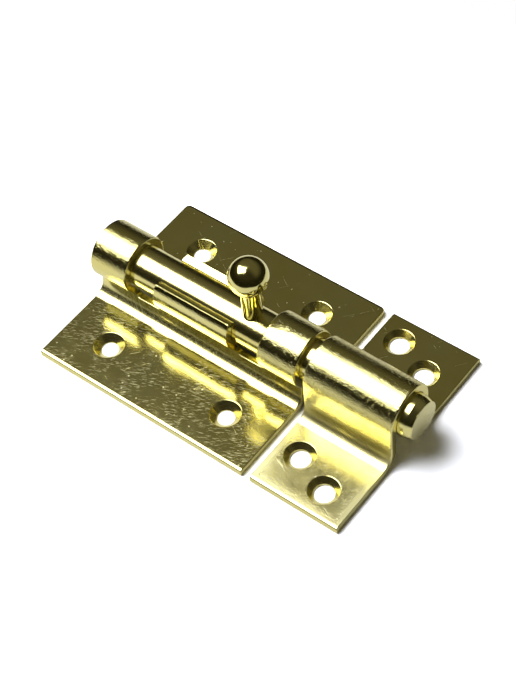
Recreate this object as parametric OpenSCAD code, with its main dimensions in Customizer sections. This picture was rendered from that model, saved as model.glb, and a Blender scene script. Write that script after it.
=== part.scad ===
// Surface door bolt of pressed brass sheet: a main plate whose middle is drawn up into an open barrel,
// a round bolt rod that slides in it, a ball knob on a stem, and a separate strip keeper.
// Origin: centre of the main plate, on the door's surface. +X along the bolt towards the keeper,
// +Y towards the back edge of the plates, +Z away from the door. Millimetres.

/* [Sheet] */

// Thickness of the pressed sheet of both plates
sheet_t = 2.4; // [2.3:0.1:2.7]

/* [Main plate] */

// Length of the main plate along the bolt
plate_l = 80; // [78:0.5:100]
// Width of the main plate across the bolt
plate_w = 74.5; // [72:0.5:90]
// Radius of the main plate's two back corners
plate_back_r = 1.8; // [0.5:0.1:4]
// Radius of the main plate's two front corners, left nearly sharp
plate_front_r = 0.5; // [0.3:0.1:4]
// Screw hole spacing along the bolt
plate_hole_x = 46.5; // [44:0.5:56]
// Screw hole spacing across the bolt
plate_hole_y = 46.5; // [46:0.5:54]
// Diameter of the main plate's screw holes
plate_hole_d = 5.5; // [4.5:0.1:6]
// Diameter of the main plate's countersinks at the face
plate_sink_d = 10; // [9:0.1:10]

/* [Barrel] */

// Height of the bolt's axis above the door
rod_z = 16.4; // [16.2:0.1:17]
// Gap between the bolt rod and the barrel around it
slide_gap = 0.2; // [0.1:0.05:0.4]
// Radius of the bend between the barrel and the flanges, on the outside
bend_r = 4.8; // [4.4:0.1:5]
// Length of each closed loop at the ends of the barrel
loop_l = 14.2; // [12:0.1:16]

/* [Lips] */

// Half the length of the two open lips between the notches
lip_half_l = 14.4; // [12:0.1:14.4]
// Height of the lips' outer edge above the door
lip_top_z = 22.35; // [21:0.05:23]
// Slope of the lips' cut edge, falling inwards
lip_cut_angle = 22; // [10:1:30]
// Radius of the lips' upper corners
lip_corner_r = 1.5; // [0.5:0.1:2]
// Height of the bottom of the notches above the door
notch_z = 7.6; // [7.4:0.1:8]
// Radius of the notches' lower corners
notch_r = 2; // [1:0.1:2.5]

/* [Bolt rod] */

// Diameter of the bolt rod
rod_d = 14; // [13.4:0.1:14.2]
// Position of the rod's hidden end
rod_x0 = -36; // [-38:0.5:-30]
// Position of the rod's free end, locked
rod_x1 = 79.6; // [77:0.1:84]
// Drop in radius of the taper at each of the rod's ends
rod_taper = 0.75; // [0.3:0.05:1]
// Length of the taper at each of the rod's ends
rod_taper_l = 2.4; // [0.8:0.1:3]

/* [Ball knob] */

// Position of the knob's stem along the bolt
knob_x = 17.9; // [17.9:0.1:20]
// Angle of the knob from straight up, towards the front edge; at 90 it points straight to the front
knob_angle = 0; // [-105:1:105]
// Diameter of the stem
stem_d = 6.4; // [5:0.1:6.4]
// Gap between the stem's foot and the rod's surface
foot_gap = 0.05; // [0.02:0.01:0.1]
// Distance from the bolt's axis to the ball's centre
ball_reach = 23.7; // [22:0.1:26]
// Diameter of the ball
ball_d = 12.6; // [11:0.1:13]
// Diameter of the collar between stem and ball
collar_d = 7.4; // [6.8:0.1:8]
// Length of the collar
collar_l = 1.2; // [0.8:0.1:2]
// Depth of the small turned flat on the ball's far side
ball_flat = 0.25; // [0.1:0.05:0.6]

/* [Keeper] */

// Gap between the main plate and the keeper
keeper_gap = 3; // [1:0.5:12]
// Length of the keeper along the bolt
keeper_l = 32; // [30:0.5:32]
// Width of the keeper across the bolt
keeper_w = 74.5; // [74:0.5:90]
// Radius of the bend between the keeper's arch and its flanges, on the outside
keeper_bend_r = 4.3; // [4:0.1:4.6]
// Distance of the keeper's near holes from its left edge
keeper_near_x = 8; // [7:0.5:9]
// Distance of the keeper's far holes from its left edge
keeper_far_x = 21; // [19:0.5:22]
// Distance of the keeper's inner holes from the bolt's axis
keeper_inner_y = 22.7; // [21.5:0.1:24]
// Distance of the keeper's outer holes from the bolt's axis
keeper_outer_y = 28.5; // [27:0.1:30]
// Diameter of the keeper's screw holes
keeper_hole_d = 6.5; // [5.5:0.1:6.8]
// Diameter of the keeper's countersinks at the face
keeper_sink_d = 10; // [9:0.1:10]

/* [Hidden] */

$fn = 96;
// Reach of cutters past the faces they go through
past = 1;
plate_x1 = plate_l / 2;
loop_x = plate_x1 - loop_l;
barrel_inner_r = rod_d / 2 + slide_gap;
barrel_outer_r = barrel_inner_r + sheet_t;
// The barrel's round ends where its wall leans in by this slope, and a short straight piece joins it to the bend
neck_cos = 0.8;
neck_sin = 0.6;
bend_z = sheet_t + bend_r;
neck_l = (rod_z - (barrel_outer_r + bend_r) * neck_sin - bend_z) / neck_cos;
bend_y = (barrel_outer_r + bend_r) * neck_cos - neck_l * neck_sin;
lip_top_y = sqrt(pow(barrel_outer_r, 2) - pow(lip_top_z - rod_z, 2));
keeper_x0 = plate_x1 + keeper_gap;
keeper_bend_y = barrel_outer_r + keeper_bend_r;
keeper_bend_z = sheet_t + keeper_bend_r;
tall = rod_z + barrel_outer_r + 2 * past;

// Sub-part to draw: one of the names above, or all

// Draws its children, given in the plane across the bolt, as a bar from x0 to x1
module along_bolt(x0, x1)
  translate([x0, 0, 0])
    rotate([90, 0, 90])
      linear_extrude(height = x1 - x0)
        children();

// Draws its children, given in the plane seen from the front, as a block right through the part
module through_part()
  rotate([90, 0, 0])
    linear_extrude(height = plate_w + 2 * past, center = true)
      children();

// A full ring of sheet with the given inside radius
module sheet_ring(inner_r)
  difference() {
    circle(r = inner_r + sheet_t);
    circle(r = inner_r);
  }

// A polygon given for the back half of a cross-section, drawn there or mirrored to the front half
module half_polygon(side, points)
  polygon(side > 0 ? points : [for (i = [len(points) - 1 : -1 : 0]) [-points[i][0], points[i][1]]]);

// A point at a distance from a centre, along the line across the neck's straight piece
function across_neck(y, z, distance) = [y + distance * neck_cos, z - distance * neck_sin];

// Flat flange of the sheet on one side, from y out to the edge
module flange(side, y, width)
  half_polygon(side, [[y, 0], [width / 2, 0], [width / 2, sheet_t], [y, sheet_t]]);

// Cross-section of the sheet, drawn up round the bolt and open at the neck
module barrel_section()
  union() {
    difference() {
      translate([0, rod_z])
        sheet_ring(barrel_inner_r);
      for (side = [-1, 1])
        half_polygon(side, [[0, rod_z], [0, rod_z - tall], across_neck(0, rod_z - tall, tall), across_neck(0, rod_z, tall)]);
    }
    for (side = [-1, 1]) {
      half_polygon(side, [
        across_neck(0, rod_z, barrel_inner_r),
        across_neck(bend_y, bend_z, -bend_r - sheet_t),
        across_neck(bend_y, bend_z, -bend_r),
        across_neck(0, rod_z, barrel_outer_r)
      ]);
      intersection() {
        translate([side * bend_y, bend_z])
          sheet_ring(bend_r);
        half_polygon(side, [
          [bend_y, bend_z],
          across_neck(bend_y, bend_z, -tall),
          across_neck(bend_y, -tall, -tall),
          [bend_y, -tall]
        ]);
      }
      flange(side, bend_y, plate_w);
    }
  }

// The opening between the loops as seen from the front, with the lips' outline left standing
module window_outline()
  difference() {
    union() {
      translate([-loop_x, notch_z + notch_r])
        square([2 * loop_x, tall]);
      translate([-loop_x + notch_r, notch_z])
        square([2 * (loop_x - notch_r), tall]);
      for (side = [-1, 1])
        translate([side * (loop_x - notch_r), notch_z + notch_r])
          circle(r = notch_r);
    }
    lip_outline();
  }

// One lip as seen from the front: rounded at the top, flared by the notch corners at the foot
module lip_outline()
  difference() {
    union() {
      translate([-lip_half_l, notch_z - past])
        square([2 * lip_half_l, lip_top_z - lip_corner_r - notch_z + past]);
      translate([-lip_half_l + lip_corner_r, notch_z])
        square([2 * (lip_half_l - lip_corner_r), lip_top_z - notch_z]);
      for (side = [-1, 1])
        translate([side * (lip_half_l - lip_corner_r), lip_top_z - lip_corner_r])
          circle(r = lip_corner_r);
      translate([-lip_half_l - notch_r, notch_z - past])
        square([2 * (lip_half_l + notch_r), notch_r + past]);
    }
    for (side = [-1, 1])
      translate([side * (lip_half_l + notch_r), notch_z + notch_r])
        circle(r = notch_r);
  }

// Everything above the lips' sloping cut edges, across the bolt
module lip_cut()
  union() {
    for (side = [-1, 1])
      half_polygon(side, [
        [0, lip_top_z - lip_top_y * tan(lip_cut_angle)],
        [lip_top_y, lip_top_z],
        [lip_top_y + 2 * sheet_t, lip_top_z],
        [lip_top_y + 2 * sheet_t, 2 * tall],
        [0, 2 * tall]
      ]);
  }

// A round hole with a countersink, from the back face to past the front face
module screw_hole(hole_d, sink_d) {
  sink_h = (sink_d - hole_d) / 2;
  translate([0, 0, -past])
    cylinder(h = sheet_t + 2 * past, d = hole_d);
  translate([0, 0, sheet_t - sink_h])
    cylinder(h = sink_h + past, d1 = hole_d, d2 = sink_d + 2 * past);
}

// Outline of the main plate, seen from above
module plate_outline()
  union() {
    square([plate_l, plate_w / 2], center = true);
    plate_side(1, plate_back_r);
    plate_side(-1, plate_front_r);
  }

// One half of that outline, from the middle to the back or front edge, with its two round corners
module plate_side(side, corner_r) {
  translate([0, side * (plate_w / 4 - corner_r / 2)])
    square([plate_l, plate_w / 2 - corner_r], center = true);
  translate([0, side * plate_w / 4])
    square([plate_l - 2 * corner_r, plate_w / 2], center = true);
  for (x = [-1, 1])
    translate([x * (plate_x1 - corner_r), side * (plate_w / 2 - corner_r)])
      circle(r = corner_r);
}

// The plate before its barrel is opened: drawn up, cut to outline and pierced for the screws
module closed_plate()
  intersection() {
    difference() {
      along_bolt(-plate_x1, plate_x1)
        barrel_section();
      for (x = [-1, 1], y = [-1, 1])
        translate([x * plate_hole_x / 2, y * plate_hole_y / 2, 0])
          screw_hole(plate_hole_d, plate_sink_d);
    }
    translate([0, 0, -past])
      linear_extrude(height = 2 * tall)
        plate_outline();
  }

module main_plate()
  color([0.86, 0.72, 0.2])
    difference() {
      difference() {
        closed_plate();
        through_part()
          window_outline();
      }
      along_bolt(-loop_x + notch_r, loop_x - notch_r)
        lip_cut();
    }

module bolt_rod()
  color([0.9, 0.78, 0.3])
    translate([rod_x0, 0, rod_z])
      rotate([0, 90, 0])
        union() {
          cylinder(h = rod_taper_l, d1 = rod_d - 2 * rod_taper, d2 = rod_d);
          translate([0, 0, rod_taper_l])
            cylinder(h = rod_x1 - rod_x0 - 2 * rod_taper_l, d = rod_d);
          translate([0, 0, rod_x1 - rod_x0 - rod_taper_l])
            cylinder(h = rod_taper_l, d1 = rod_d, d2 = rod_d - 2 * rod_taper);
        }

// Half outline of the knob, turned about its own axis, with the bolt's axis at height zero
module knob_half() {
  square([stem_d / 2, ball_reach]);
  translate([0, ball_reach - sqrt(pow(ball_d / 2, 2) - pow(collar_d / 2, 2)) - collar_l / 2])
    square([collar_d / 2, collar_l]);
  intersection() {
    translate([0, ball_reach])
      circle(d = ball_d);
    translate([0, ball_reach - ball_d])
      square([ball_d, 1.5 * ball_d - ball_flat]);
  }
}

module ball_knob()
  color([0.84, 0.7, 0.22])
    translate([knob_x, 0, rod_z])
      rotate([knob_angle, 0, 0])
        difference() {
          rotate_extrude()
            knob_half();
          rotate([0, 90, 0])
            cylinder(h = 2 * stem_d, r = rod_d / 2 + foot_gap, center = true);
        }

// Cross-section of the keeper: flanges, straight legs and a half-round arch over the bolt
module keeper_section()
  union() {
    intersection() {
      translate([0, rod_z])
        sheet_ring(barrel_inner_r);
      translate([-keeper_w / 2, rod_z])
        square([keeper_w, tall]);
    }
    for (side = [-1, 1]) {
      translate([side * (barrel_inner_r + sheet_t / 2), (keeper_bend_z + rod_z) / 2])
        square([sheet_t, rod_z - keeper_bend_z], center = true);
      intersection() {
        translate([side * keeper_bend_y, keeper_bend_z])
          sheet_ring(keeper_bend_r);
        translate([side * (keeper_bend_y - tall / 2), keeper_bend_z - tall / 2])
          square([tall, tall], center = true);
      }
      flange(side, keeper_bend_y, keeper_w);
    }
  }

module keeper()
  color([0.88, 0.76, 0.26])
    difference() {
      along_bolt(keeper_x0, keeper_x0 + keeper_l)
        keeper_section();
      for (side = [-1, 1])
        translate([keeper_x0 + keeper_near_x, side * keeper_hole_y(side < 0), 0])
          screw_hole(keeper_hole_d, keeper_sink_d);
      for (side = [-1, 1])
        translate([keeper_x0 + keeper_far_x, side * keeper_hole_y(side > 0), 0])
          screw_hole(keeper_hole_d, keeper_sink_d);
    }

// Near holes sit close to the bolt at the front and far from it at the back, far holes the other way round
function keeper_hole_y(inner) = inner ? keeper_inner_y : keeper_outer_y;

main_plate();
bolt_rod();
ball_knob();
keeper();
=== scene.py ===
"""Surface door bolt in bright brass, on a white sheet

It has a pressed main plate, a strip keeper, a sliding rod and a ball knob.
"""

import math

import bmesh
import bpy
from bpy.props import FloatProperty, FloatVectorProperty, PointerProperty
from mathutils import Matrix, Vector


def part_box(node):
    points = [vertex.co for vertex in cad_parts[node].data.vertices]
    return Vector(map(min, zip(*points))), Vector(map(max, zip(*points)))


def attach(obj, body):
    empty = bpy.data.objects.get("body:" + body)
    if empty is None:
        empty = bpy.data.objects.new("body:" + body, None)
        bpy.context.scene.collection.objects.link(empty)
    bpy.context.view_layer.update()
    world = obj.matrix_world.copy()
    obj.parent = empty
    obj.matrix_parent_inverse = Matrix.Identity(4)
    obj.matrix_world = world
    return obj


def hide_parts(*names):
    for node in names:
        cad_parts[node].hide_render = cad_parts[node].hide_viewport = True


bl_info = {
    "name": "Brass Door Bolt",
    "version": (1, 0, 0),
    "blender": (4, 5, 0),
    "location": "3D View > Sidebar > Door Bolt",
    "description": "Builds a pressed brass door bolt with its keeper, rod and ball knob",
    "category": "Add Mesh",
}

MM = 0.001
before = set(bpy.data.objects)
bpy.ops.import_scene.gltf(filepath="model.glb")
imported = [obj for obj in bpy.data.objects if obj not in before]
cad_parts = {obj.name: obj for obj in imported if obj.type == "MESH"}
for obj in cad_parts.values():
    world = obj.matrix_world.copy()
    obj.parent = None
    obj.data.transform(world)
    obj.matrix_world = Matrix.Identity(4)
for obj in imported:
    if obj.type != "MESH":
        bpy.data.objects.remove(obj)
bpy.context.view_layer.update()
PLATE_LOW, PLATE_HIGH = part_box("main_plate")
KEEPER_LOW, KEEPER_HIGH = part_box("keeper")
ROD_LOW, ROD_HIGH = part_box("bolt_rod")
KNOB_LOW, KNOB_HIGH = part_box("ball_knob")
ROD_Z = (ROD_LOW.z + ROD_HIGH.z) / 2

# Tags for the faces of a pressed piece, kept as material slots while it is cut
FACE_SIDE, BACK_SIDE, CUT_SIDE = 0, 1, 2
SLOT_NAMES = ("bolt_side_0", "bolt_side_1", "bolt_side_2")

# How far a cutter reaches above and beside the pieces
ABOVE_ALL = 40 * MM
BESIDE_ALL = 45 * MM


# Settings


def length(name, description, millimetres):
    return FloatProperty(name=name, description=description, default=millimetres * MM, unit="LENGTH")


def colour(name, description, value):
    limits = {"min": 0, "max": 1}
    return FloatVectorProperty(name=name, description=description, default=value, subtype="COLOR", **limits)


class DoorBoltSheet(bpy.types.PropertyGroup):
    """Sizes of the pressed sheet that the plate and the keeper share"""

    thickness: length("Thickness", "Thickness of the sheet", 2.4)
    barrel_radius: length("Barrel Radius", "Inside radius of the barrel", 7.2)
    plate_bend: length("Plate Bend", "Outside radius where the plate turns up", 4.8)
    keeper_bend: length("Keeper Bend", "Outside radius where the keeper turns up", 4.3)
    back_corner: length("Back Corner", "Radius of the plate's back corners", 1.8)
    droop_width: length("Droop Width", "Width of the droop at the front and back edges", 1.05)
    droop_depth: length("Droop Depth", "Depth of the droop at the front and back edges", 0.42)
    rolled_edge: length("Rolled Edge", "Rounding that the press leaves on the face's edges", 0.95)


class DoorBoltWindow(bpy.types.PropertyGroup):
    """Sizes of the opening in the barrel and its lips"""

    half_length: length("Half Length", "Half the distance between the loops", 25.8)
    lip_half_length: length("Lip Half Length", "Half the length of a lip", 14.4)
    notch_height: length("Notch Height", "Height of the notches' bottoms", 7.6)
    notch_radius: length("Notch Radius", "Radius of the notches' lower corners", 2.0)
    lip_height: length("Lip Height", "Height of the lips' outer edge", 22.35)
    lip_corner: length("Lip Corner", "Radius of the lips' upper corners", 1.5)
    lip_slope: FloatProperty(
        name="Lip Slope", description="Fall of the lips' cut edge", default=math.radians(22), subtype="ANGLE"
    )


class DoorBoltHoles(bpy.types.PropertyGroup):
    """Sizes of the countersunk screw holes"""

    plate_hole: length("Plate Hole", "Diameter of the plate's holes", 5.5)
    keeper_hole: length("Keeper Hole", "Diameter of the keeper's holes", 6.5)
    sink: length("Countersink", "Diameter of the countersinks at the face", 10)
    plate_spacing: length("Plate Spacing", "Spacing of the plate's holes both ways", 46.5)
    keeper_middle: length("Keeper Middle", "Middle of the keeper's holes from its end by the plate", 14.5)
    keeper_spacing_x: length("Keeper Spacing Along", "Spacing of the keeper's holes along the bolt", 13)
    keeper_spacing_y: length("Keeper Spacing Across", "Spacing of the keeper's holes across the bolt", 51.2)
    keeper_slant: FloatProperty(
        name="Keeper Slant", description="Shift across for each length along", default=-5.8 / 13, unit="NONE"
    )


class DoorBoltTurned(bpy.types.PropertyGroup):
    """Sizes of the rod and the knob"""

    rod_radius: length("Rod Radius", "Radius of the bolt rod", 7.0)
    rod_taper: length("Rod Taper", "Drop in radius of the rod's tapered ends", 0.75)
    rod_taper_length: length("Taper Length", "Length of the rod's tapered ends", 2.4)
    rod_edge: length("Rod Edge", "Rounding of the rod's edges", 0.25)
    stem_radius: length("Stem Radius", "Radius of the knob's stem", 3.2)
    collar_radius: length("Collar Radius", "Radius of the knob's collar", 3.7)
    collar_length: length("Collar Length", "Length of the knob's collar", 1.2)
    collar_edge: length("Collar Edge", "Rounding of the collar's edges", 0.22)
    ball_radius: length("Ball Radius", "Radius of the ball", 6.3)
    ball_reach: length("Ball Reach", "Distance from the bolt's axis to the ball", 23.7)
    foot_gap: length("Foot Gap", "Gap between the knob's foot and the rod", 0.03)


class DoorBoltFinish(bpy.types.PropertyGroup):
    """Colours of the brass and how bright it is"""

    brass: colour("Brass", "Colour of the polished brass", (0.825, 0.765, 0.335))
    brass_deep: colour("Brass Deep", "Colour of the brass where it is thicker or warmer", (0.80, 0.71, 0.25))
    # This pale colour is real wear on scratches, specks and sawn ends, and also painted glints on brushing
    # lines and painted sheen on the keeper's front
    brass_pale_wear_and_sheen: colour("Brass Pale", "Colour of worn and scratched brass", (0.90, 0.875, 0.62))
    polish: FloatProperty(
        name="Polish",
        description="Roughness of the polished faces",
        default=0.13,
        subtype="FACTOR",
        min=0,
        max=1,
    )


class DoorBoltSettings(bpy.types.PropertyGroup):
    """All sizes and colours of the door bolt"""

    sheet: PointerProperty(type=DoorBoltSheet, name="Sheet", description="The pressed sheet")
    window: PointerProperty(type=DoorBoltWindow, name="Window", description="The barrel's opening")
    holes: PointerProperty(type=DoorBoltHoles, name="Holes", description="The screw holes")
    turned: PointerProperty(type=DoorBoltTurned, name="Turned", description="The rod and the knob")
    finish: PointerProperty(type=DoorBoltFinish, name="Finish", description="The brass")


# Node helpers


class Nodes:
    """Adds nodes to a tree, laid out from left to right"""

    def __init__(self, tree):
        self.tree = tree
        self.count = 0

    def add(self, kind, inputs=None, label=None, **settings):
        node = self.tree.nodes.new(kind)
        node.location = (220 * (self.count // 4), -240 * (self.count % 4))
        self.count += 1
        for name, value in settings.items():
            setattr(node, name, value)
        for name, value in (inputs or {}).items():
            self.feed(node.inputs[name], value)
        if label:
            node.label = label
        return node

    def feed(self, socket, value):
        if isinstance(value, bpy.types.NodeSocket):
            self.tree.links.new(value, socket)
        else:
            socket.default_value = value

    def math(self, operation, a, b=0.0, c=0.0, clamp=False):
        node = self.add("ShaderNodeMath", operation=operation, use_clamp=clamp)
        for socket, value in zip(node.inputs, (a, b, c)):
            self.feed(socket, value)
        return node.outputs[0]

    def mix(self, factor, a, b):
        node = self.add("ShaderNodeMix", data_type="RGBA")
        for socket, value in ((node.inputs[0], factor), (node.inputs[6], a), (node.inputs[7], b)):
            self.feed(socket, value)
        return node.outputs[2]

    def ramp(self, value, low, high, smooth=True):
        """0 at low and 1 at high, with an even rise or a smooth one; low may lie above high"""
        node = self.add("ShaderNodeMapRange", {"Value": value, "From Min": low, "From Max": high})
        node.interpolation_type = "SMOOTHSTEP" if smooth else "LINEAR"
        return node.outputs["Result"]

    def noise(self, vector, scale, detail=2.0, roughness=0.5):
        inputs = {"Vector": vector, "Scale": scale, "Detail": detail, "Roughness": roughness}
        return self.add("ShaderNodeTexNoise", inputs).outputs["Fac"]

    def mapped(self, vector, **inputs):
        """The coordinates moved, turned or stretched"""
        named = {name.title(): value for name, value in inputs.items()}
        return self.add("ShaderNodeMapping", {"Vector": vector, **named}).outputs["Vector"]

    def axes(self, vector):
        return self.add("ShaderNodeSeparateXYZ", {"Vector": vector}).outputs

    def distance(self, value):
        """The distance from zero, on either side"""
        return self.math("ABSOLUTE", value)


def empty_tree(owner):
    """Turns on an owner's nodes and gives its tree, with nothing in it"""
    owner.use_nodes = True
    owner.node_tree.nodes.clear()
    return Nodes(owner.node_tree)


def rgba(value):
    return (*value, 1.0)


# Brass: places and lengths are in millimetres

# Depths of the relief in the surface
PEEL_DEPTH, WAVE_DEPTH, LINE_DEPTH, WEAR_DEPTH, SAW_DEPTH = 0.075, 0.2, 0.009, 0.01, 0.05
# How far the colour goes towards pale brass: real wear for scratches, specks and sawn ends, painted glints
# on brushing lines and painted sheen on the keeper's front
PALE_HAIR_GLINTS, PALE_WEAR, PALE_FROST_SHEEN, PALE_SAWN = 0.4, 0.7, 2.0, 0.35
# What is added to the roughness
ROUGH_HAIRS, ROUGH_WEAR, ROUGH_SAWN, ROUGH_BENDS, ROUGH_CLOUDS = 0.19, 0.3, 0.12, 0.12, 0.05
# Direction of the fine brushing on the front flange
FRONT_BRUSHING = 0.42


def scratches(nodes, place, turn, stretch, scale, width, seed):
    """Thin straight scratches that run along one direction, broken up so that they start and stop"""
    turned_place = nodes.mapped(place, rotation=(0, 0, turn), location=(seed, seed * 0.7, 0))
    long_way = nodes.mapped(turned_place, scale=(scale / stretch, scale, scale))
    lines = nodes.add(
        "ShaderNodeTexVoronoi",
        {"Vector": long_way, "Scale": 1.0},
        feature="DISTANCE_TO_EDGE",
        voronoi_dimensions="2D",
    )
    thin = nodes.ramp(lines.outputs["Distance"], width, 0.0)
    parts = nodes.ramp(nodes.noise(turned_place, 0.22, 1.0), 0.59, 0.66)
    return nodes.math("MULTIPLY", thin, parts)


def hairlines(nodes, place, turn):
    """Short fine lines that brushing leaves, all near one direction"""
    turned_place = nodes.mapped(place, rotation=(0, 0, -turn))
    long_way = nodes.mapped(turned_place, scale=(0.4, 8.0, 8.0))
    thin = nodes.ramp(nodes.noise(long_way, 1.0, 1.0), 0.57, 0.70)
    parts = nodes.ramp(nodes.noise(turned_place, 0.13, 2.0), 0.34, 0.52)
    return nodes.math("MULTIPLY", thin, nodes.math("MULTIPLY_ADD", parts, 0.7, 0.3))


def flecks(nodes, place, scale, share, seed):
    """Small round specks, one in some of the cells"""
    moved = nodes.mapped(place, location=(seed, seed * 1.3, seed * 0.4))
    cells = nodes.add("ShaderNodeTexVoronoi", {"Vector": moved, "Scale": scale}).outputs
    parts = nodes.add("ShaderNodeSeparateColor", {"Color": cells["Color"]})
    size = nodes.math("MULTIPLY", nodes.ramp(parts.outputs["Red"], 1.0 - share, 1.0, False), 0.34)
    return nodes.ramp(nodes.math("SUBTRACT", size, cells["Distance"]), 0.0, 0.05)


def worn(nodes, place, amount):
    """Scratches in two directions, and specks"""
    longer = scratches(nodes, place, turn=0.5, stretch=30, scale=0.12, width=0.007, seed=3.1)
    shorter = scratches(nodes, place, turn=-0.9, stretch=24, scale=0.10, width=0.006, seed=11.7)
    specks = flecks(nodes, place, scale=0.95, share=0.09, seed=5.0)
    marks = nodes.math("MAXIMUM", nodes.math("MAXIMUM", longer, shorter), specks)
    return nodes.math("MULTIPLY", marks, amount)


def front_side(nodes, axes):
    """1 on the flange in front of the bolt, fading out up the barrel's side"""
    return nodes.math("MULTIPLY", nodes.ramp(axes["Z"], 10.5, 8.5), nodes.ramp(axes["Y"], -4.0, -6.0))


def peeled(nodes, axes, flat):
    """Where orange peel shows: on the loops and the arch, less on the lips, and a given share elsewhere"""
    loops = nodes.ramp(nodes.distance(axes["X"]), 16.0, 23.0)
    high = nodes.ramp(axes["Z"], 7.0, 12.0)
    arch = nodes.math("MULTIPLY", high, nodes.math("MULTIPLY_ADD", loops, 0.7, 0.3))
    return nodes.math("MAXIMUM", arch, flat)


def painted_edge_reflection(nodes, axes, low_x, high_x, front_y, width):
    """How near a point lies to the front and side edges of a flange: 1 at the edge, 0 further in; it sets a
    painted reflection, a paler band along the edges
    """
    left = nodes.ramp(axes["X"], low_x + width, low_x)
    right = nodes.ramp(axes["X"], high_x - width, high_x)
    front = nodes.ramp(axes["Y"], front_y + width, front_y)
    return nodes.math("MAXIMUM", nodes.math("MAXIMUM", left, right), front)


def brass(
    name,
    finish,
    brushed=0.0,
    pebbled=0.0,
    scratched=0.5,
    flat_grain=0.1,
    satin=0.0,
    frosted_with_sheen=0.0,
    front_only=False,
    margin=None,
    sawn_from=None,
):
    """Bright plated brass: soft tone changes, drawing lines, orange peel, scratches and specks, with painted
    glints on the brushing lines and painted sheen on the keeper's front
    """
    material = bpy.data.materials.new(name)
    nodes = empty_tree(material)
    coordinates = nodes.add("ShaderNodeTexCoord")
    to_mm = {"Vector": coordinates.outputs["Object"], "Scale": (1000, 1000, 1000)}
    place = nodes.add("ShaderNodeMapping", to_mm, "Millimetres").outputs["Vector"]
    axes = nodes.axes(place)
    share = front_side(nodes, axes) if front_only else 1.0
    pale = rgba(finish.brass_pale_wear_and_sheen)

    def on_front(value):
        return nodes.math("MULTIPLY", share, value) if front_only else value

    def paler(now, amount, factor):
        return nodes.mix(nodes.math("MULTIPLY", amount, factor), now, pale)

    tone = nodes.ramp(nodes.noise(place, 0.045, 3.0), 0.3, 0.75)
    tint = nodes.mix(tone, rgba(finish.brass), rgba(finish.brass_deep))
    wear = worn(nodes, place, scratched)
    rough = base = finish.polish + satin
    if front_only:
        bends = nodes.math("MULTIPLY", nodes.ramp(axes["Z"], 2.5, 3.6), share)
        rough = nodes.math("MULTIPLY_ADD", bends, ROUGH_BENDS, base)
    lines = nodes.noise(nodes.mapped(place, scale=(0.09, 3.0, 3.0)), 1.0)
    height = nodes.math("MULTIPLY", lines, on_front(brushed * LINE_DEPTH))
    if brushed:
        direction = FRONT_BRUSHING if front_only else 0.0
        hairs_and_glints = nodes.math("MULTIPLY", hairlines(nodes, place, direction), on_front(brushed))
        # Painted glints: the brushing lines are tinted pale as well as made rougher
        tint = paler(tint, hairs_and_glints, PALE_HAIR_GLINTS)
        rough = nodes.math("MULTIPLY_ADD", hairs_and_glints, ROUGH_HAIRS, rough)
    tint = paler(tint, wear, PALE_WEAR)
    # Painted sheen: a satin finish is tinted pale besides being rougher, and more so in a painted reflection
    # along the keeper's front and side edges
    if frosted_with_sheen:
        frost_and_sheen = on_front(frosted_with_sheen)
        if margin:
            edges = painted_edge_reflection(nodes, axes, *margin)
            frost_and_sheen = nodes.math("MULTIPLY", frost_and_sheen, nodes.math("MULTIPLY_ADD", edges, 1.3, 1.0))
        tint = paler(tint, frost_and_sheen, PALE_FROST_SHEEN)
        rough = nodes.math("ADD", rough, frost_and_sheen)
    if sawn_from is not None:
        sawn = nodes.ramp(axes["X"], sawn_from, sawn_from + 0.15)
        tint = paler(tint, sawn, PALE_SAWN)
        rough = nodes.math("MULTIPLY_ADD", sawn, ROUGH_SAWN, rough)
    rough = nodes.math("MULTIPLY_ADD", wear, ROUGH_WEAR, rough)
    rough = nodes.math("MULTIPLY_ADD", nodes.noise(place, 0.16), ROUGH_CLOUDS, rough, clamp=True)

    grain = nodes.math("MULTIPLY", peeled(nodes, axes, on_front(flat_grain)), pebbled * PEEL_DEPTH)
    height = nodes.math("MULTIPLY_ADD", nodes.noise(place, 2.5, 1.0, 0.4), grain, height)
    height = nodes.math("MULTIPLY_ADD", nodes.noise(place, 0.07, 1.0), WAVE_DEPTH, height)
    height = nodes.math("MULTIPLY_ADD", wear, -WEAR_DEPTH, height)
    if sawn_from is not None:
        marks = nodes.noise(nodes.mapped(place, rotation=(0.5, 0, 0), scale=(1, 0.25, 4)), 1.0)
        height = nodes.math("MULTIPLY_ADD", nodes.math("MULTIPLY", marks, sawn), SAW_DEPTH, height)
    bump = nodes.add("ShaderNodeBump", {"Height": height, "Strength": 1.0, "Distance": MM})

    shader = nodes.add(
        "ShaderNodeBsdfPrincipled",
        {"Base Color": tint, "Roughness": rough, "Metallic": 1.0, "Normal": bump.outputs["Normal"]},
    )
    nodes.add("ShaderNodeOutputMaterial", {"Surface": shader.outputs["BSDF"]})
    return material


# Outlines, in metres, in the plane named by each function


def arc(centre, radius, start, end, steps):
    """Points of an arc, from start to end in degrees"""
    angles = [math.radians(start + (end - start) * i / steps) for i in range(steps + 1)]
    return [(centre[0] + radius * math.cos(a), centre[1] + radius * math.sin(a)) for a in angles]


def mirrored(points):
    return [(-y, z) for y, z in reversed(points)]


def section(sheet, edge, bend_centre, bend, up_to, from_angle, bend_steps, ring_steps):
    """Face and back of a cross-section, each from the back edge over the barrel to the front edge"""
    bore, t = sheet.barrel_radius, sheet.thickness

    def half(ring, turn):
        bottom = arc(bend_centre, turn, 270, up_to, bend_steps)
        return bottom + arc((0, ROD_Z), ring, from_angle, 90, ring_steps)

    # The shears pull the face down a little at its front and back edges
    droop = [(edge, t - sheet.droop_depth), (edge - sheet.droop_width, t)]
    face = droop + half(bore + t, bend)
    back = [(edge, 0)] + half(bore, bend + t)
    return face + mirrored(face)[1:], back + mirrored(back)[1:]


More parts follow.
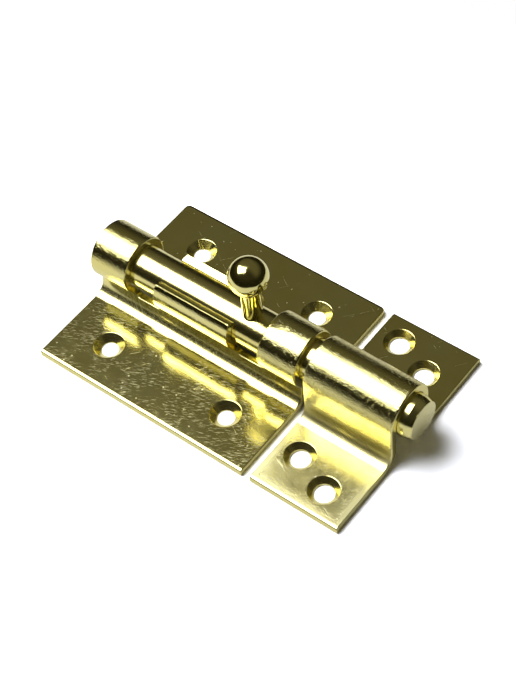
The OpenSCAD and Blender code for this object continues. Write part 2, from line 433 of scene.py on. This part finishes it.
def plate_section(sheet):
    """The plate's sheet leans in below the barrel, in the ratio 3 to 4 to 5, before it meets the bend"""
    bend, outer = sheet.plate_bend, sheet.barrel_radius + sheet.thickness + sheet.plate_bend
    lean = math.degrees(math.atan2(0.6, 0.8))
    bend_z = sheet.thickness + bend
    neck = (ROD_Z - outer * 0.6 - bend_z) / 0.8
    bend_y = outer * 0.8 - neck * 0.6
    angles = {"up_to": 180 - lean, "from_angle": -lean}
    return section(sheet, PLATE_HIGH.y, (bend_y, bend_z), bend, **angles, bend_steps=20, ring_steps=44)


def keeper_section(sheet):
    """The keeper's sheet stands upright below its arch"""
    bend, outer = sheet.keeper_bend, sheet.barrel_radius + sheet.thickness + sheet.keeper_bend
    bend_centre = (outer, sheet.thickness + bend)
    angles = {"up_to": 180, "from_angle": 0}
    return section(sheet, KEEPER_HIGH.y, bend_centre, bend, **angles, bend_steps=18, ring_steps=32)


def notch_outline(window):
    """A notch beside the lips with the lip's rounded corner, seen from the front"""
    reach, lip, low, r = window.half_length, window.lip_half_length, window.notch_height, window.notch_radius
    top, corner = window.lip_height, window.lip_corner
    bottom = arc((lip + r, low + r), r, 180, 270, 10) + arc((reach - r, low + r), r, 270, 360, 10)
    shoulder = arc((lip - corner, top - corner), corner, 90, 0, 10)
    return [(lip - corner, ABOVE_ALL)] + shoulder + bottom + [(reach, ABOVE_ALL)]


def plate_outline(sheet):
    """The plate's outline with its rounded back corners, seen from above; the front and sides stay free"""
    r, over = sheet.back_corner, 5 * MM
    x, front, back = PLATE_HIGH.x, PLATE_LOW.y, PLATE_HIGH.y
    half = [(x + over, front - over), (x + over, back - 2 * r)] + arc((x - r, back - r), r, 0, 90, 8)
    return half + [(-x, y) for x, y in reversed(half)]


def lip_wedge(sheet, window, side):
    """What is cut off above one lip, so that its edge falls towards the rod, in the cross-section"""
    outer = sheet.barrel_radius + sheet.thickness
    lip_y = math.sqrt(outer**2 - (window.lip_height - ROD_Z) ** 2)
    fall = math.tan(window.lip_slope)
    over = 6 * MM
    low = (0, window.lip_height - lip_y * fall)
    high = (lip_y + over, window.lip_height + over * fall)
    return [(side * y, z) for y, z in (low, high, (lip_y + over, ABOVE_ALL))] + [(0, ABOVE_ALL)]


# Meshes


def new_object(name, data):
    piece = bpy.data.objects.new(name, data)
    bpy.context.scene.collection.objects.link(piece)
    return piece


def object_from(name, mesh):
    """An object whose mesh is a finished bmesh, with its faces turned outwards"""
    bmesh.ops.recalc_face_normals(mesh, faces=mesh.faces)
    data = bpy.data.meshes.new(name)
    mesh.to_mesh(data)
    mesh.free()
    return new_object(name, data)


def tag_slots(piece):
    """Three placeholder slots, so that cuts keep track of which side a face lies on"""
    for name in SLOT_NAMES:
        piece.data.materials.append(bpy.data.materials.get(name) or bpy.data.materials.new(name))


def prism(name, outline, place, low, high, tag):
    """A straight block between two ends of a closed outline; place turns (u, v, end) into a point"""
    mesh = bmesh.new()
    ends = [[mesh.verts.new(place(u, v, end)) for u, v in outline] for end in (low, high)]
    count = len(outline)
    for i in range(count):
        j = (i + 1) % count
        mesh.faces.new((ends[0][i], ends[0][j], ends[1][j], ends[1][i])).material_index = tag
    mesh.faces.new(ends[0]).material_index = tag
    mesh.faces.new(list(reversed(ends[1]))).material_index = tag
    piece = object_from(name, mesh)
    tag_slots(piece)
    return piece


def across(u, v, end):
    """A cross-section point (across, up) at a place along the bolt"""
    return Vector((end, u, v))


def seen_from_front(u, v, end):
    return Vector((u, end, v))


def seen_from_above(u, v, end):
    return Vector((u, v, end))


def pressed_bar(name, face_and_back, low, high):
    """The sheet's cross-section drawn out along the bolt, with its face, back and ends tagged"""
    face, back = face_and_back
    piece = prism(name, face + list(reversed(back)), across, low, high, CUT_SIDE)
    # The sides come first, in the outline's order: the face, an edge, the back, the other edge
    sides = piece.data.polygons
    face_count, back_count = len(face) - 1, len(back) - 1
    for i in range(face_count):
        sides[i].material_index = FACE_SIDE
    for i in range(back_count):
        sides[face_count + 1 + i].material_index = BACK_SIDE
    return piece


def cut(piece, cutter, operation="DIFFERENCE"):
    """Cuts the piece with another, keeps the tags and deletes the cutter"""
    step = piece.modifiers.new("Cut", "BOOLEAN")
    step.operation = operation
    step.solver = "EXACT"
    step.object = cutter
    plain(piece)
    bpy.data.objects.remove(cutter)


def plain(piece):
    """Puts the result of a piece's modifiers into its mesh"""
    bpy.context.view_layer.update()
    graph = bpy.context.evaluated_depsgraph_get()
    old = piece.data
    piece.data = bpy.data.meshes.new_from_object(piece.evaluated_get(graph), depsgraph=graph)
    piece.data.name = piece.name
    piece.modifiers.clear()
    bpy.data.meshes.remove(old)


# How much of the full rounding the face's edges take: the loops' rims the most, the lips' corners little
FLANGE_SHARE, RIM_SHARE, LIP_SHARE, CORNER_SHARE = 0.4, 0.6, 0.36, 0.15
FLANGE_TOP, RIMS_FROM = 3 * MM, 24 * MM
CORNERS_FROM, CORNERS_TO = 12.9 * MM, 14.5 * MM
# Angles between two faces, in degrees: one surface below the first, a sheared edge above the second
SMOOTH_ANGLE, SHEARED_ANGLE = 32, 60


def edge_share(edge):
    """How much of the full rounding an edge takes, by its place and the sides that meet in it"""
    angle = math.degrees(edge.calc_face_angle(0.0))
    tags = sorted(face.material_index for face in edge.link_faces)
    if angle < SMOOTH_ANGLE or tags[0] == tags[1] != CUT_SIDE:
        return 0.0
    if tags != [FACE_SIDE, CUT_SIDE] or angle <= SHEARED_ANGLE:
        return CORNER_SHARE
    middle = (edge.verts[0].co + edge.verts[1].co) / 2
    if middle.z < FLANGE_TOP:
        return FLANGE_SHARE
    if abs(middle.x) > RIMS_FROM:
        return RIM_SHARE
    return CORNER_SHARE if CORNERS_FROM < abs(middle.x) < CORNERS_TO else LIP_SHARE


def smooth(piece, angle):
    piece.data.polygons.foreach_set("use_smooth", [True] * len(piece.data.polygons))
    piece.data.set_sharp_from_angle(angle=math.radians(angle))


def soften_edges(piece, radius):
    """Rounds the face's edges as a press does, the back's a little, and shades the piece smoothly"""
    mesh = bmesh.new()
    mesh.from_mesh(piece.data)
    touching = 0.001 * MM
    bmesh.ops.remove_doubles(mesh, verts=mesh.verts, dist=touching)
    bmesh.ops.dissolve_degenerate(mesh, edges=mesh.edges, dist=touching)
    weight = mesh.edges.layers.float.new("bevel_weight_edge")
    for edge in mesh.edges:
        if len(edge.link_faces) == 2:
            edge[weight] = edge_share(edge)
    mesh.to_mesh(piece.data)
    mesh.free()
    bevel = piece.modifiers.new("Rolled edges", "BEVEL")
    bevel.width = radius
    bevel.segments = 3
    bevel.limit_method = "WEIGHT"
    bevel.use_clamp_overlap = False
    bevel.miter_outer = "MITER_ARC"
    piece.data.polygons.foreach_set("use_smooth", [True] * len(piece.data.polygons))
    plain(piece)
    smooth(piece, SMOOTH_ANGLE)
    weighted = piece.modifiers.new("Even shading", "WEIGHTED_NORMAL")
    weighted.keep_sharp = True
    weighted.weight = 90
    plain(piece)


def turned(name, profile, sides=96):
    """A piece turned about its own +Z, from (radius, height) points that start and end on the axis"""
    mesh = bmesh.new()
    steps = [2 * math.pi * i / sides for i in range(sides)]
    on_axis = 1e-9
    rings = []
    for r, h in profile:
        if r < on_axis:
            rings.append([mesh.verts.new((0, 0, h))])
        else:
            rings.append([mesh.verts.new((r * math.cos(step), r * math.sin(step), h)) for step in steps])
    for a, b in zip(rings, rings[1:]):
        for i in range(sides):
            j = (i + 1) % sides
            corners = [a[i % len(a)], a[j % len(a)], b[j % len(b)], b[i % len(b)]]
            corners = [v for k, v in enumerate(corners) if v not in corners[:k]]
            mesh.faces.new(corners)
    return object_from(name, mesh)


def rounded_profile(points, radius, steps=4):
    """A profile whose inner corners are rounded; a corner's radius is cut down where its sides are short"""
    nearly_straight, share_of_side = math.radians(172), 0.45
    result = [points[0]]
    for before, here, after in zip(points, points[1:], points[2:]):
        a, b, c = Vector(before), Vector(here), Vector(after)
        u, w = a - b, c - b
        turn = u.angle(w, math.pi)
        if turn > nearly_straight:
            result.append(here)
            continue
        back_off = min(radius / math.tan(turn / 2), share_of_side * u.length, share_of_side * w.length)
        start, end = b + u.normalized() * back_off, b + w.normalized() * back_off
        for i in range(steps + 1):
            t = i / steps
            p = start * (1 - t) ** 2 + b * 2 * t * (1 - t) + end * t**2
            result.append((p.x, p.y))
    result.append(points[-1])
    return result


def set_down(piece, place):
    """Moves a piece's mesh to its place, so that its object stays at the origin"""
    piece.data.transform(place)
    piece.data.update()


# Geometry Nodes: countersunk holes on a slanted grid


def hole_tree():
    """Four countersinking drills, one for each hole, on a grid whose rows may slant"""
    tree = bpy.data.node_groups.new("Countersinking drills", "GeometryNodeTree")
    lengths = ("Spacing Along", "Spacing Across", "Slant", "Hole Diameter", "Sink Diameter", "Thickness")
    sockets = {"Centre": "NodeSocketVector", **{name: "NodeSocketFloat" for name in lengths}}
    sockets["Material"] = "NodeSocketMaterial"
    for name, kind in sockets.items():
        tree.interface.new_socket(name, in_out="INPUT", socket_type=kind)
    tree.interface.new_socket("Geometry", in_out="OUTPUT", socket_type="NodeSocketGeometry")
    nodes = Nodes(tree)
    given = nodes.add("NodeGroupInput").outputs

    def moved(geometry, offset):
        inputs = {"Geometry": geometry, "Offset": offset}
        return nodes.add("GeometryNodeSetPosition", inputs).outputs["Geometry"]

    def offset(**parts):
        return nodes.add("ShaderNodeCombineXYZ", parts).outputs["Vector"]

    size = {"Size X": given["Spacing Along"], "Size Y": given["Spacing Across"]}
    grid = nodes.add("GeometryNodeMeshGrid", {**size, "Vertices X": 2, "Vertices Y": 2})
    along = nodes.axes(nodes.add("GeometryNodeInputPosition").outputs[0])["X"]
    slanted = moved(grid.outputs["Mesh"], offset(Y=nodes.math("MULTIPLY", along, given["Slant"])))
    centred = moved(slanted, given["Centre"])

    hole_r = nodes.math("MULTIPLY", given["Hole Diameter"], 0.5)
    sink_r = nodes.math("MULTIPLY", given["Sink Diameter"], 0.5)
    sink_h = nodes.math("SUBTRACT", sink_r, hole_r)
    sides, drill_length, over = 72, 10 * MM, 1 * MM
    shaft = {"Vertices": sides, "Radius": hole_r, "Depth": drill_length}
    drill = nodes.add("GeometryNodeMeshCylinder", shaft)
    cone = nodes.add(
        "GeometryNodeMeshCone",
        {
            "Vertices": sides,
            "Radius Top": nodes.math("ADD", sink_r, over),
            "Radius Bottom": hole_r,
            "Depth": nodes.math("ADD", sink_h, over),
        },
    )
    raised = moved(cone.outputs["Mesh"], offset(Z=nodes.math("SUBTRACT", given["Thickness"], sink_h)))
    drill_bit = nodes.add("GeometryNodeMeshBoolean", operation="UNION", solver="EXACT")
    for tool in (drill.outputs["Mesh"], raised):
        tree.links.new(tool, drill_bit.inputs["Mesh 2"])

    each = {"Points": centred, "Instance": drill_bit.outputs["Mesh"]}
    placed = nodes.add("GeometryNodeInstanceOnPoints", each).outputs["Instances"]
    real = nodes.add("GeometryNodeRealizeInstances", {"Geometry": placed}).outputs["Geometry"]
    result = nodes.add("GeometryNodeSetMaterial", {"Geometry": real, "Material": given["Material"]})
    nodes.add("NodeGroupOutput", {"Geometry": result.outputs["Geometry"]})
    return tree


def drill_holes(piece, sheet, holes, centre, spacing, slant, diameter):
    """Cuts the countersunk holes that the tree's drills make"""
    values = {
        "Centre": centre,
        "Spacing Along": spacing[0],
        "Spacing Across": spacing[1],
        "Slant": slant,
        "Hole Diameter": diameter,
        "Sink Diameter": holes.sink,
        "Thickness": sheet.thickness,
        "Material": bpy.data.materials[SLOT_NAMES[CUT_SIDE]],
    }
    tree = bpy.data.node_groups.get("Countersinking drills") or hole_tree()
    drills = new_object("drills", bpy.data.meshes.new("drills"))
    step = drills.modifiers.new("Screw holes", "NODES")
    step.node_group = tree
    for item in tree.interface.items_tree:
        if item.item_type == "SOCKET" and item.in_out == "INPUT":
            step[item.identifier] = values[item.name]
    plain(drills)
    drills.data.materials.clear()
    tag_slots(drills)
    drills.data.polygons.foreach_set("material_index", [CUT_SIDE] * len(drills.data.polygons))
    cut(piece, drills)


def finish_pressed(piece, face, cut_edge):
    """Gives the face and back one material and the sheared edges another"""
    tags = [p.material_index for p in piece.data.polygons]
    piece.data.materials.clear()
    piece.data.materials.append(face)
    piece.data.materials.append(cut_edge)
    piece.data.polygons.foreach_set("material_index", [1 if t == CUT_SIDE else 0 for t in tags])


def sheared_brass(name, finish):
    return brass(name, finish, brushed=0.3, pebbled=0.4, scratched=0.2, satin=0.04)


def hand_over(piece, body, node):
    """Checks that a piece is whole and lies where its CAD node does, and then lets it stand for the node"""
    mesh = bmesh.new()
    mesh.from_mesh(piece.data)
    open_edges = sum(1 for edge in mesh.edges if len(edge.link_faces) != 2)
    corners = [vertex.co.copy() for vertex in mesh.verts]
    mesh.free()
    if not corners or open_edges:
        raise RuntimeError("%s has %d open edges" % (piece.name, open_edges))
    low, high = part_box(node)
    slack = 0.2 * MM
    for axis in range(3):
        reach = [corner[axis] for corner in corners]
        start, end = min(reach), max(reach)
        if abs(start - low[axis]) > slack or abs(end - high[axis]) > slack:
            told = (piece.name, start / MM, end / MM, "XYZ"[axis], low[axis] / MM, high[axis] / MM)
            raise RuntimeError("%s reaches %.2f to %.2f mm along %s, not %.2f to %.2f" % told)
    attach(piece, body)
    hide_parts(node)


# Operators


class DOORBOLT_OT_main_plate(bpy.types.Operator):
    """Builds the pressed main plate with its barrel, lips and screw holes"""

    bl_idname = "door_bolt.main_plate"
    bl_label = "Main Plate"

    def execute(self, context):
        settings = context.scene.door_bolt
        sheet, window, holes = settings.sheet, settings.window, settings.holes
        plate = pressed_bar("main_plate_pressed", plate_section(sheet), PLATE_LOW.x, PLATE_HIGH.x)
        corners = prism("outline", plate_outline(sheet), seen_from_above, -5 * MM, ABOVE_ALL, CUT_SIDE)
        cut(plate, corners, "INTERSECT")
        spacing = (holes.plate_spacing, holes.plate_spacing)
        drill_holes(plate, sheet, holes, (0.0, 0.0, 0.0), spacing, 0.0, holes.plate_hole)
        notch = notch_outline(window)
        for outline in (notch, mirrored(notch)):
            cut(plate, prism("notch", outline, seen_from_front, -BESIDE_ALL, BESIDE_ALL, CUT_SIDE))
        ends = window.lip_half_length + 1 * MM
        for side in (1, -1):
            cut(plate, prism("lip edge", lip_wedge(sheet, window, side), across, -ends, ends, CUT_SIDE))
        soften_edges(plate, sheet.rolled_edge)
        face = brass(
            "plate_brass",
            settings.finish,
            brushed=1.0,
            pebbled=1.3,
            scratched=0.55,
            satin=-0.03,
            front_only=True,
        )
        finish_pressed(plate, face, sheared_brass("plate_sheared_brass", settings.finish))
        hand_over(plate, "plate", "main_plate")
        return {"FINISHED"}


class DOORBOLT_OT_keeper(bpy.types.Operator):
    """Builds the strip keeper with its arch and screw holes"""

    bl_idname = "door_bolt.keeper"
    bl_label = "Keeper"

    def execute(self, context):
        settings = context.scene.door_bolt
        sheet, holes = settings.sheet, settings.holes
        keeper = pressed_bar("keeper_pressed", keeper_section(sheet), KEEPER_LOW.x, KEEPER_HIGH.x)
        centre = (KEEPER_LOW.x + holes.keeper_middle, 0.0, 0.0)
        spacing = (holes.keeper_spacing_x, holes.keeper_spacing_y)
        drill_holes(keeper, sheet, holes, centre, spacing, holes.keeper_slant, holes.keeper_hole)
        soften_edges(keeper, sheet.rolled_edge)
        margin_width = 5.0
        face = brass(
            "keeper_brass",
            settings.finish,
            brushed=0.3,
            pebbled=1.6,
            scratched=0.6,
            flat_grain=0.32,
            satin=-0.02,
            # A satin finish with a painted sheen, paler in a painted reflection band along the edges
            frosted_with_sheen=0.075,
            front_only=True,
            margin=(KEEPER_LOW.x / MM, KEEPER_HIGH.x / MM, KEEPER_LOW.y / MM, margin_width),
        )
        finish_pressed(keeper, face, sheared_brass("keeper_sheared_brass", settings.finish))
        hand_over(keeper, "keeper", "keeper")
        return {"FINISHED"}


class DOORBOLT_OT_rod(bpy.types.Operator):
    """Builds the round bolt rod"""

    bl_idname = "door_bolt.rod"
    bl_label = "Bolt Rod"

    def execute(self, context):
        settings = context.scene.door_bolt
        sizes = settings.turned
        r, end_r, taper = sizes.rod_radius, sizes.rod_radius - sizes.rod_taper, sizes.rod_taper_length
        end = ROD_HIGH.x - ROD_LOW.x
        profile = [(0, 0), (end_r, 0), (r, taper), (r, end - taper), (end_r, end), (0, end)]
        rod = turned("bolt_rod_drawn", rounded_profile(profile, sizes.rod_edge))
        smooth(rod, 40)
        lie_down = Matrix.Rotation(math.radians(90), 4, "Y")
        set_down(rod, Matrix.Translation((ROD_LOW.x, 0, ROD_Z)) @ lie_down)
        drawn = brass(
            "rod_brass",
            settings.finish,
            brushed=0.35,
            pebbled=0.3,
            scratched=0.35,
            sawn_from=ROD_HIGH.x / MM - 0.25,
        )
        rod.data.materials.append(drawn)
        hand_over(rod, "rod", "bolt_rod")
        return {"FINISHED"}


class DOORBOLT_OT_knob(bpy.types.Operator):
    """Builds the ball knob with its stem, shaped to the rod at its foot"""

    bl_idname = "door_bolt.knob"
    bl_label = "Ball Knob"

    def execute(self, context):
        settings = context.scene.door_bolt
        sizes = settings.turned
        stem, collar = sizes.stem_radius, sizes.collar_radius
        ball, reach = sizes.ball_radius, sizes.ball_reach
        hair = 0.02 * MM
        # The foot is turned flat, a little inside the rod, and is then wrapped round the rod
        foot, foot_ring = sizes.rod_radius - 0.9 * MM, 0.3 * MM
        meet = reach - math.sqrt(ball**2 - collar**2)
        low = meet - sizes.collar_length / 2
        neck = [(0, foot), (stem, foot), (stem, low), (collar, low), (collar, meet + hair)]
        neck = rounded_profile(neck, sizes.collar_edge)
        start, steps = math.degrees(math.asin(collar / ball)), 44
        angles = [math.radians(start + (180 - start) * i / steps) for i in range(steps + 1)]
        sphere = [(ball * math.sin(a), reach - ball * math.cos(a)) for a in angles]
        # The ball ends in a tiny flat, where its CAD node does
        top = KNOB_HIGH.z - ROD_Z
        sphere = [p for p in sphere if p[1] < top - hair]
        flat = math.sqrt(max(ball**2 - (top - reach) ** 2, 0))
        knob = turned("ball_knob_turned", neck[:-1] + sphere + [(flat, top), (0, top)])
        cope = sizes.rod_radius + sizes.foot_gap
        for vertex in knob.data.vertices:
            if vertex.co.z < foot + foot_ring:
                across_rod = min(abs(vertex.co.y), cope)
                vertex.co.z += math.sqrt(cope**2 - across_rod**2) - foot
        smooth(knob, 42)
        set_down(knob, Matrix.Translation(((KNOB_LOW.x + KNOB_HIGH.x) / 2, 0, ROD_Z)))
        polished = brass("knob_brass", settings.finish, pebbled=0.06, scratched=0.25, satin=-0.05)
        knob.data.materials.append(polished)
        hand_over(knob, "knob", "ball_knob")
        return {"FINISHED"}


class DOORBOLT_OT_stage(bpy.types.Operator):
    """Sets out the white sheet, the lamp, the world and the camera"""

    bl_idname = "door_bolt.stage"
    bl_label = "Stage"

    def execute(self, context):
        white_table()
        overhead_softbox()
        studio_world(context.scene)
        place_camera(context.scene)
        if context.scene.camera is None or context.scene.world is None:
            raise RuntimeError("the stage has no camera or no world")
        return {"FINISHED"}


# Stage

ROOM_LOW, ROOM_FRONT, ROOM_BACK = (0.014, 0.0125, 0.006), (0.03, 0.027, 0.017), (0.105, 0.096, 0.060)
# The sheet's colour inside the barrel is a painted shade: what the camera sees there is darkened to stand
# for shade
SHEET_LIT, SHEET_SHOWN, SHEET_PAINTED_SHADE = (0.72, 0.72, 0.71), (1.85, 1.89, 2.06), (0.3, 0.27, 0.17)
WHITE = (1, 1, 1)


def shown_to_camera(nodes, lit_shader, shown_shader):
    """One shader for what the camera sees, also through glass, and another for what lights the metal"""
    rays = nodes.add("ShaderNodeLightPath")
    seen = nodes.math("MAXIMUM", rays.outputs["Is Camera Ray"], rays.outputs["Is Transmission Ray"])
    both = nodes.add("ShaderNodeMixShader")
    for socket, value in zip(both.inputs, (seen, lit_shader.outputs[0], shown_shader.outputs[0])):
        nodes.feed(socket, value)
    return both.outputs[0]


def white_table():
    """A white sheet that keeps the bolt's shadow, has a painted shade inside the barrel and otherwise shows
    white
    """
    half, drop = 0.17, -0.2 * MM
    mesh = bpy.data.meshes.new("table")
    corners = [(x * half, y * half, drop) for x, y in ((-1, -1), (1, -1), (1, 1), (-1, 1))]
    mesh.from_pydata(corners, [], [(0, 1, 2, 3)])
    table = new_object("table", mesh)
    material = bpy.data.materials.new("white_table")
    nodes = empty_tree(material)
    lit = nodes.add("ShaderNodeBsdfDiffuse", {"Color": rgba(SHEET_LIT)})
    axes = nodes.axes(nodes.add("ShaderNodeTexCoord").outputs["Object"])
    # The sheet shows white beside the barrel and past both of its ends; inside the barrel its shown colour
    # is darkened, a painted shade
    aside = nodes.ramp(nodes.distance(axes["Y"]), 7 * MM, 10 * MM)
    beyond = nodes.ramp(axes["X"], 39 * MM, 42 * MM)
    before = nodes.ramp(axes["X"], -39 * MM, -42 * MM)
    outside_painted_shade = nodes.math("MAXIMUM", aside, nodes.math("MAXIMUM", beyond, before))
    colours = nodes.mix(outside_painted_shade, rgba(SHEET_PAINTED_SHADE), rgba(SHEET_SHOWN))
    shown = nodes.add("ShaderNodeBsdfDiffuse", {"Color": colours})
    glow = nodes.add("ShaderNodeEmission", {"Color": rgba(WHITE), "Strength": 0.005})
    bright = nodes.add("ShaderNodeAddShader")
    for socket, part in zip(bright.inputs, (shown, glow)):
        nodes.feed(socket, part.outputs[0])
    nodes.add("ShaderNodeOutputMaterial", {"Surface": shown_to_camera(nodes, lit, bright)})
    mesh.materials.append(material)


def overhead_softbox():
    """A wide lamp above the left of the bolt that fades out towards its edges"""
    place, target = Vector((-0.36, -0.17, 0.80)), Vector((0.015, 0, 0.01))
    data = bpy.data.lights.new("overhead_softbox", "AREA")
    data.shape = "RECTANGLE"
    data.size, data.size_y, data.energy = 0.80, 0.76, 14.8
    nodes = empty_tree(data)
    spot = nodes.axes(nodes.add("ShaderNodeNewGeometry").outputs["Parametric"])
    fades = []
    for axis in "XY":
        from_middle = nodes.distance(nodes.math("SUBTRACT", spot[axis], 0.5))
        fades.append(nodes.ramp(from_middle, 0.5, 0.35))
    light = nodes.add("ShaderNodeEmission", {"Strength": nodes.math("MULTIPLY", *fades)})
    nodes.add("ShaderNodeOutputLight", {"Surface": light.outputs[0]})
    lamp = new_object("overhead_softbox", data)
    lamp.rotation_euler = (place - target).to_track_quat("Z", "Y").to_euler()
    lamp.location = place
    lamp.visible_camera = False


def studio_world(scene):
    """A dark, warm room, a little paler high up at the back, that shows white behind the table"""
    world = bpy.data.worlds.new("studio")
    scene.world = world
    nodes = empty_tree(world)
    axes = nodes.axes(nodes.add("ShaderNodeTexCoord").outputs["Generated"])
    to_back = nodes.ramp(axes["Y"], -0.3, 0.35)
    to_top = nodes.ramp(axes["Z"], 0.15, 0.72)
    upper = nodes.mix(to_back, rgba(ROOM_FRONT), rgba(ROOM_BACK))
    room = nodes.mix(to_top, rgba(ROOM_LOW), upper)
    dim = nodes.add("ShaderNodeBackground", {"Color": room, "Strength": 1.0})
    white = nodes.add("ShaderNodeBackground", {"Color": rgba(WHITE), "Strength": 1.0})
    nodes.add("ShaderNodeOutputWorld", {"Surface": shown_to_camera(nodes, dim, white)})


def place_camera(scene):
    """The photograph's view, from the front right and well above"""
    turn, rise, roll = math.radians(43.369), math.radians(51.99), math.radians(-7.298)
    distance, shift_right, shift_up = 559.48 * MM, 13.866 * MM, -3.158 * MM
    focal_pixels, picture_height, sensor = 1779.66, 688, 36
    back = Vector((math.sin(turn) * math.cos(rise), -math.cos(turn) * math.cos(rise), math.sin(rise)))
    right = Vector((math.cos(turn), math.sin(turn), 0))
    up = back.cross(right)
    c, s = math.cos(roll), math.sin(roll)
    right, up = right * c + up * s, up * c - right * s
    data = bpy.data.cameras.new("photo_view")
    data.sensor_fit = "VERTICAL"
    data.sensor_height = sensor
    data.lens = sensor * focal_pixels / picture_height
    data.clip_start, data.clip_end = 0.01, 20
    camera = new_object("photo_view", data)
    axes = Matrix((right, up, back)).transposed().to_4x4()
    camera.matrix_world = Matrix.Translation(right * shift_right + up * shift_up + back * distance) @ axes
    scene.camera = camera
    scene.view_settings.view_transform = "Standard"


class DOORBOLT_PT_pieces(bpy.types.Panel):
    """Lists the door bolt's pieces in the sidebar"""

    bl_label = "Door Bolt"
    bl_idname = "DOORBOLT_PT_pieces"
    bl_space_type = "VIEW_3D"
    bl_region_type = "UI"
    bl_category = "Door Bolt"

    def draw(self, context):
        layout = self.layout
        for step in STEPS:
            layout.operator(step.bl_idname)
        finish = context.scene.door_bolt.finish
        layout.prop(finish, "brass")
        layout.prop(finish, "polish")


STEPS = (
    DOORBOLT_OT_main_plate,
    DOORBOLT_OT_keeper,
    DOORBOLT_OT_rod,
    DOORBOLT_OT_knob,
    DOORBOLT_OT_stage,
)
CLASSES = (
    DoorBoltSheet,
    DoorBoltWindow,
    DoorBoltHoles,
    DoorBoltTurned,
    DoorBoltFinish,
    DoorBoltSettings,
    *STEPS,
    DOORBOLT_PT_pieces,
)


def register():
    for one in CLASSES:
        bpy.utils.register_class(one)
    bpy.types.Scene.door_bolt = PointerProperty(type=DoorBoltSettings)


def unregister():
    del bpy.types.Scene.door_bolt
    for one in reversed(CLASSES):
        bpy.utils.unregister_class(one)


def main():
    register()
    bpy.ops.door_bolt.main_plate()
    bpy.ops.door_bolt.keeper()
    bpy.ops.door_bolt.rod()
    bpy.ops.door_bolt.knob()
    bpy.ops.door_bolt.stage()


if __name__ == "__main__":
    main()
